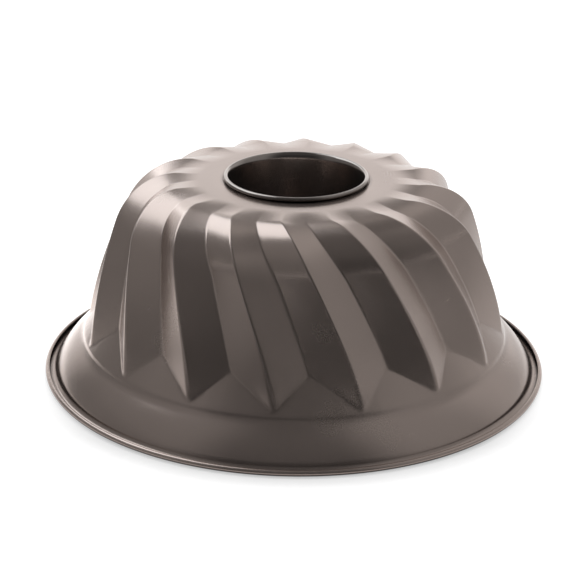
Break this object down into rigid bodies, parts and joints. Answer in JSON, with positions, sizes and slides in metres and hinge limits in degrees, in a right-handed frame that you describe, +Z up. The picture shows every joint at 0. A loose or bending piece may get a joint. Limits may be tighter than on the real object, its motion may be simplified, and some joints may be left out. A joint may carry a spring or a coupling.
{
  "type": "fluted tube pan",
  "caption": "Pressed steel ring-cake pan, standing upside down on its rolled rim, with twisted folded flutes and an open centre tube.",
  "frame": {"origin": "on the pan's axis, in the plane that the rim rests on", "axes": "+Z up along the pan's axis, from the open side on the rim towards the closed side with the tube's mouth"},
  "size_m": [0.25, 0.25, 0.1003],
  "materials": {
    "shell_coating": "satin non-stick coating, warm grey-brown, metallic",
    "tube_coating": "satin non-stick coating, warm grey-brown, metallic"
  },
  "bodies": {
    "root": {"fluted_shell": "shell_coating", "centre_tube": "tube_coating"}
  },
  "joints": []
}
